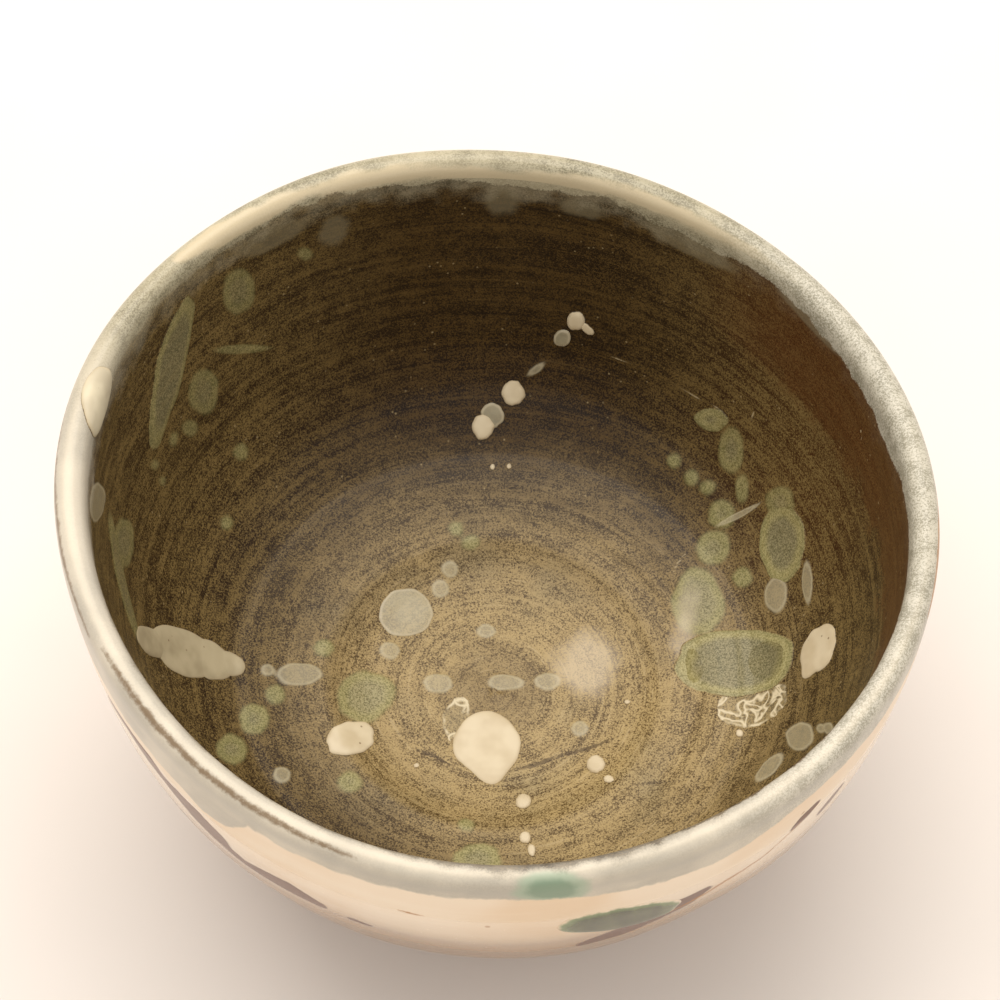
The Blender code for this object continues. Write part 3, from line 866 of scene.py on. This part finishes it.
def drop_piece(name, drops, finish, slot, *nodes):
    """One piece from one or more drops, each a closed body."""
    points, faces, far, way, count = [], [], [], [], 0
    for options in drops:
        p, f, e, w = drop_grid(**options)
        faces += [tuple(i + count for i in face) for face in f]
        points.append(p)
        far.append(e)
        way.append(w)
        count += len(p)
    far = np.concatenate(far)
    piece = add_piece(name, np.vstack(points), faces, far=far, way=np.concatenate(way))
    piece.data.materials.append(finish)
    if nodes:
        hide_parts(*nodes)
    return piece


# %% Finishes for the drops
def white_finish(name, bright, dull):
    f = Finish(name)
    ground, _, _, grain = dark_coat(f, f.reading("way"))
    far = f.reading("far") + (f.noise(0.9, 3) - 0.5) * 0.25
    body = f.mix(f.noise(0.25, 2).rise(0.35, 0.7), bright, dull)
    body = f.mix(f.grains(0.35).rise(0.09, 0.04) * 0.8, body, tone(120, 92, 60))
    thin = far.rise(-0.55, -0.02)
    colour = f.mix(thin * 0.4, body, tone(186, 164, 126))
    colour = f.mix(far.rise(-0.10, 0.02), colour, ground)
    return f.surface(colour, 0.45 + thin * 0.1, grain * 0.2, 0.04, 0.12, 0.2, shine=0.3)


def grey_finish():
    f = Finish("grey_drop_glaze")
    ground, _, _, grain = dark_coat(f, f.reading("way"))
    far = f.reading("far") + (f.noise(0.9, 3) - 0.5) * 0.3
    milk = f.noise(0.35, 2).rise(0.3, 0.7)
    colour = f.mix(0.5 + milk * 0.2, ground, tone(186, 174, 142))
    colour = f.mix(far.hump(-0.24, 0.36) * 0.5, colour, tone(206, 190, 158))
    colour = f.mix(far.rise(-0.06, 0.04), colour, ground)
    return f.surface(colour, 0.35 + grain * 0.08, grain * 0.3, 0.04, 0.15, 0.15, shine=0.3)


def green_finish():
    f = Finish("green_splash_glaze")
    way = f.reading("way")
    ground, _, _, grain = dark_coat(f, way)
    far = f.reading("far") + (f.noise(0.7, 3, 0.6) - 0.5) * 0.7
    spotted = grain.rise(0.36, 0.64)
    halo = f.mix(spotted, tone(144, 134, 82), tone(184, 174, 122))
    heart = f.mix(spotted, tone(110, 104, 70), tone(156, 148, 112))
    colour = f.mix(far.rise(-1.1, -2.6), halo, heart)
    colour = f.mix(far.hump(-0.5, 0.5) * 0.3, colour, tone(96, 96, 58))
    strength = 0.58 + way.rise(62, 44) * 0.22
    colour = f.mix(far.rise(-0.35, 0.05), f.mix(strength, ground, colour), ground)
    return f.surface(colour, 0.4 + grain * 0.1, grain * 0.4, 0.05, 0.12, 0.2, shine=0.25)


def front_green_finish():
    f = Finish("green_front_glaze")
    grain = f.noise(2.3, 2, 0.6, warp=0.6)
    far = f.reading("far") + (f.noise(0.6, 3, 0.6) - 0.5) * 0.9
    cream = cream_coat(f, f.reading("way"), grain)
    streak = f.noise(1.0, 3, 0.6, spot=f.stretched(0.5, 0.5, 0.12))
    body = f.mix(streak.rise(0.35, 0.65), tone(66, 66, 38), tone(92, 94, 60))
    colour = f.mix(far.rise(-1.8, 0.1), body, tone(128, 140, 98))
    colour = f.mix(far.rise(-0.5, 0.05), colour, cream)
    return f.surface(colour, 0.2 + grain * 0.08, grain * 0.2, 0.05, 0.5, 0.08)


# %% Lay the drops
white = white_finish("white_drop_glaze", tone(220, 202, 168), tone(206, 186, 150))
thin_white = white_finish("thin_white_glaze", tone(188, 172, 138), tone(168, 152, 120))
grey, green = grey_finish(), green_finish()
drop_piece("white_drop_by_centre", [dict(mark=(265, 9.2, 5.6, 5.1, 3), seed=3, height=0.4, amount=0.10,
                                         tail=(0.3, 10))], white, "white_drop", "white_drop_floor")
drop_piece("white_drop_by_well", [dict(mark=(207, 24, 4.1, 2.8, 12), seed=11, height=0.4, amount=0.16,
                                       square=2.5)], white, "white_drop", "white_drop_near_well")
drop_piece("white_run_left", [dict(mark=(184.4, 49.6, 7.4, 3.9, 13), seed=21, height=0.42, amount=0.06),
                              dict(mark=(183.2, 44.4, 4.6, 3.3, 10), seed=22, height=0.4, amount=0.05),
                              dict(mark=(187.0, 57.4, 5.2, 2.3, 20), seed=23, height=0.38, amount=0.05),
                              dict(mark=(182.2, 40.6, 2.6, 2.1, 0), seed=24, height=0.36, amount=0.05)],
           thin_white, "white_drop", "white_drop_left_run")
drop_piece("white_drop_on_right_wall", [dict(mark=(0, 52.3, 4.1, 3.8, -24), seed=31, height=0.4, amount=0.2,
                                             tail=(0.3, 250))], white, "white_drop", "white_drop_right")
drop_piece("grey_drop_by_well", [dict(mark=(138, 18.6, 4.3, 3.9, 67), seed=41, height=0.25, amount=0.08)],
           grey, "grey_drop", "grey_drop_floor")
drop_piece("green_pool_right", [dict(mark=(4, 37.3, 9.8, 5.7, -15), seed=51, height=0.25, amount=0.1,
                                     square=2.2)], green, "green_splash", "green_splash_right")
drop_piece("green_run_left", [dict(mark=(150, 78, 11.6, 4.0, -38), seed=61, height=0.3, amount=0.12)],
           green, "green_splash", "green_splash_left")
drop_piece("green_pool_far", [dict(mark=(24, 51.2, 6.0, 4.9, 55), seed=71, height=0.25, amount=0.12)],
           green, "green_splash", "green_splash_far")
drop_piece("green_drop_back", [dict(mark=(50, 56.7, 3.2, 2.0, -48), seed=81, height=0.25, amount=0.16)],
           green, "green_splash", "green_splash_back")
drop_piece("green_pool_front", [dict(mark=(287.5, CREST + 17.3, 4.2, 9.2, -14), seed=91, height=0.4,
                                     amount=0.08)],
           front_green_finish(), "green_splash", "green_splash_front")
SMALL_WHITE = [(78, 63.4, 2.0, 1.4, -6), (76, 62.4, 1.4, 0.8, 48), (94, 43.6, 2.0, 1.8, -4),
               (88, 49.1, 2.1, 1.8, -3), (284, 20.1, 1.5, 1.2, -10), (320, 20.3, 1.8, 1.4, -37),
               (317, 24.1, 1.0, 0.7, -6), (281, 27.8, 1.1, 0.9, -9), (282, 30.3, 1.2, 0.6, -10),
               (345, 38.6, 0.7, 0.6, -55), (231, 17.8, 0.5, 0.4, 0), (354, 20.3, 0.5, 0.4, 0),
               (92, 37.2, 0.5, 0.4, 0), (88, 37.4, 0.5, 0.4, 0)]
drop_piece("small_white_drops", [dict(mark=m, seed=200 + i, height=0.22 * math.sqrt(m[2] * m[3]) + 0.1,
                                      amount=0.13, rings=9, spokes=36)
                                 for i, m in enumerate(SMALL_WHITE)], white, "white_drop")
SMALL_GREY = [(92, 45.4, 2.0, 1.8, 0), (80, 59.6, 1.7, 1.3, -13)]
drop_piece("small_grey_drops", [dict(mark=m, seed=230 + i, height=0.3, amount=0.1, rings=12, spokes=48)
                                for i, m in enumerate(SMALL_GREY)], grey, "grey_drop")
drop_piece("white_drip_on_lip", [dict(mark=(169, CREST - 2.6, 2.8, 5.4, 8), seed=240, height=0.7,
                                      amount=0.07)],
           white_finish("lip_drip_glaze", tone(204, 190, 160), tone(188, 174, 146)), "white_drop")

# %% [markdown]
# ## Bare clay and the foot
# Under the glaze the clay is a coarse brown stoneware. It shows below the outer coat, on the foot and in
# the recess that the trimming tool left, with the tool's fine rings and specks of sand in it.

# %% Bare clay
CLOSE_ROWS, BURIED_ROWS = 0.7, 2.2
STANDING_FACE, TOOL_RINGS, TOOL_WAVE = 0.4, 0.05, 0.04


def clay_finish(name):
    f = Finish(name)
    grain = f.noise(1.2, 4, 0.7)
    rings = f.noise(1.0, 3, 0.6, spot=f.stretched(0.15, 0.15, 2.2))
    sand = f.grains(0.8).rise(0.25, 0.1)
    colour = f.mix(grain.rise(0.35, 0.68), tone(116, 84, 58), tone(164, 126, 92))
    colour = f.mix(rings.rise(0.5, 0.7) * 0.4, colour, tone(96, 66, 44))
    colour = f.mix(sand * 0.5, colour, tone(196, 170, 138))
    return f.surface(colour, 0.72 + grain * 0.15, grain + sand * 0.6 + rings * 0.5, 0.16)


def turned(name, line, node, closed=False, fine=1000.0):
    """Spin a line of radius and height into a closed body with the trimming tool's rings in it.

    Its first part, as long as fine, gets close rows, and the buried rest only the rows of its own points.
    """
    line = np.array(line, float)
    if closed:
        line = np.vstack([line, line[:1]])
    steps = np.concatenate([[0], np.cumsum(np.hypot(*np.diff(line, axis=0).T))])
    at = np.unique(np.concatenate([steps, np.arange(0, min(fine, steps[-1]), CLOSE_ROWS)]))
    r, z = np.interp(at, steps, line[:, 0]), np.interp(at, steps, line[:, 1])
    if closed:
        r, z, at = r[:-1], z[:-1], at[:-1]
    turns = np.arange(ROUND) * 2 * math.pi / ROUND
    rr, tt = np.meshgrid(r, turns, indexing="ij")
    zz = np.repeat(z[:, None], ROUND, 1)
    standing = zz > STANDING_FACE
    along = at[:, None]
    cut = TOOL_RINGS * np.sin(along * 4.2) * standing * (rr > 1) + TOOL_WAVE * np.sin(5 * tt + along)
    shape = uneven(rr + cut * standing, zz, tt)
    if not closed:
        shape[0, :], shape[-1, :] = (0, 0, z[0]), (0, 0, z[-1])
    points, rows = shape.reshape(-1, 3), len(r)
    k, n = ring()
    if closed:
        faces = grid_faces(0, rows)
        last = (rows - 1) * ROUND
        faces += np.stack([last + k, last + n, n, k], 1).tolist()
        piece = add_piece(name, points, faces)
    else:
        inner = points[ROUND:-ROUND]
        faces = grid_faces(0, rows - 2)
        low, high, last = len(inner), len(inner) + 1, (rows - 3) * ROUND
        faces += [(low, int(b), int(a)) for a, b in zip(k, n)]
        faces += [(high, int(last + a), int(last + b)) for a, b in zip(k, n)]
        piece = add_piece(name, np.vstack([inner, points[:1], points[-1:]]), faces)
    piece.data.materials.append(clay_finish(name))
    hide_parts(node)
    return piece


UNDERSIDE = [(0.0, 5.8), (14.0, 5.6), (20.6, 5.7), (21.9, 6.5), (22.1, 8.6), (28.0, 8.6)]
FOOT = [(23.4, 0.0), (26.0, 0.0), (26.6, 0.6), (27.4, 4.2), (28.0, 8.3), (22.5, 8.3), (22.6, 4.0),
        (22.9, 0.5)]
wall_ways = np.arange(END, 0, -BURIED_ROWS)
wall_r, wall_z, wall_out_r, wall_out_z = line_at(wall_ways)
BURIED = 0.62
wall = list(zip(wall_r - wall_out_r * BURIED, wall_z - wall_out_z * BURIED))
turned("thrown_clay", UNDERSIDE + wall + [(0.0, FLOOR_HEIGHT - BURIED)], "clay_body", fine=40.0)
turned("luted_foot_ring", FOOT, "foot_ring", closed=True)

# %% [markdown]
# ## Light, floor and camera
# A plain pale sheet, one broad soft light above and a little behind, and a room that is evenly bright. The
# camera looks down into the bowl, turned a touch, with a long lens so that the bowl keeps its true shape.

# %% Floor
FLOOR_REACH, FLOOR_DROP = 3.0, 0.0001


def make_floor():
    mesh = bpy.data.meshes.new("floor")
    corners = [(-1, -1), (1, -1), (1, 1), (-1, 1)]
    points = [(x * FLOOR_REACH, y * FLOOR_REACH, -FLOOR_DROP) for x, y in corners]
    mesh.from_pydata(points, [], [(0, 1, 2, 3)])
    floor = bpy.data.objects.new("floor", mesh)
    bpy.context.scene.collection.objects.link(floor)
    f = Finish("pale_floor")
    dust = f.noise(0.02, 2)
    colour = f.mix(dust.rise(0.3, 0.7), tone(224, 215, 206), tone(227, 218, 209))
    mesh.materials.append(f.surface(colour, 0.9, dust, 0.01))


make_floor()


# %% Lights and world
def area_light(name, spot, aim, size, power, colour):
    data = bpy.data.lights.new(name, "AREA")
    data.shape = "RECTANGLE"
    data.size, data.size_y = size
    data.energy = power
    data.color = colour
    lamp = bpy.data.objects.new(name, data)
    lamp.location = spot
    direction = np.array(aim) - np.array(spot)
    lamp.rotation_euler = Vector(direction).to_track_quat("-Z", "Y").to_euler()
    bpy.context.scene.collection.objects.link(lamp)


LAMP_SPOT, LAMP_AIM, LAMP_SIZE, LAMP_WATTS = (-0.12, 0.32, 1.0), (0, 0, 0.02), (1.1, 0.9), 9.5
LAMP_COLOUR, ROOM_COLOUR, ROOM_STRENGTH = (1.0, 0.975, 0.945), (1.0, 0.985, 0.965, 1.0), 1.0
area_light("big_soft_light", LAMP_SPOT, LAMP_AIM, LAMP_SIZE, LAMP_WATTS, LAMP_COLOUR)
world = bpy.data.worlds.new("soft_room")
world.use_nodes = True
world.node_tree.nodes["Background"].inputs["Color"].default_value = ROOM_COLOUR
world.node_tree.nodes["Background"].inputs["Strength"].default_value = ROOM_STRENGTH
bpy.context.scene.world = world
bpy.context.scene.view_settings.view_transform = "Standard"
print("lamp:", LAMP_WATTS, "watts, and a room of strength", ROOM_STRENGTH)

# %% Camera
CAMERA_LENS, CAMERA_FAR, CAMERA_TILT, CAMERA_ROLL = 134.64, 0.520, 57.0, 1.72
AIM = (0.00005, 0.00046, 0.06544)
camera = bpy.data.objects.new("camera", bpy.data.cameras.new("camera"))
camera.data.lens = CAMERA_LENS
camera.data.sensor_width = 36.0
camera.data.clip_start = 0.01
tilt = math.radians(CAMERA_TILT)
camera.location = (AIM[0], AIM[1] - CAMERA_FAR * math.cos(tilt), AIM[2] + CAMERA_FAR * math.sin(tilt))
look = Matrix.Rotation(math.pi / 2 - tilt, 4, "X") @ Matrix.Rotation(math.radians(CAMERA_ROLL), 4, "Z")
camera.rotation_euler = look.to_euler()
bpy.context.scene.collection.objects.link(camera)
bpy.context.scene.camera = camera
print("camera stands", CAMERA_FAR, "m away and looks", CAMERA_TILT, "degrees down")
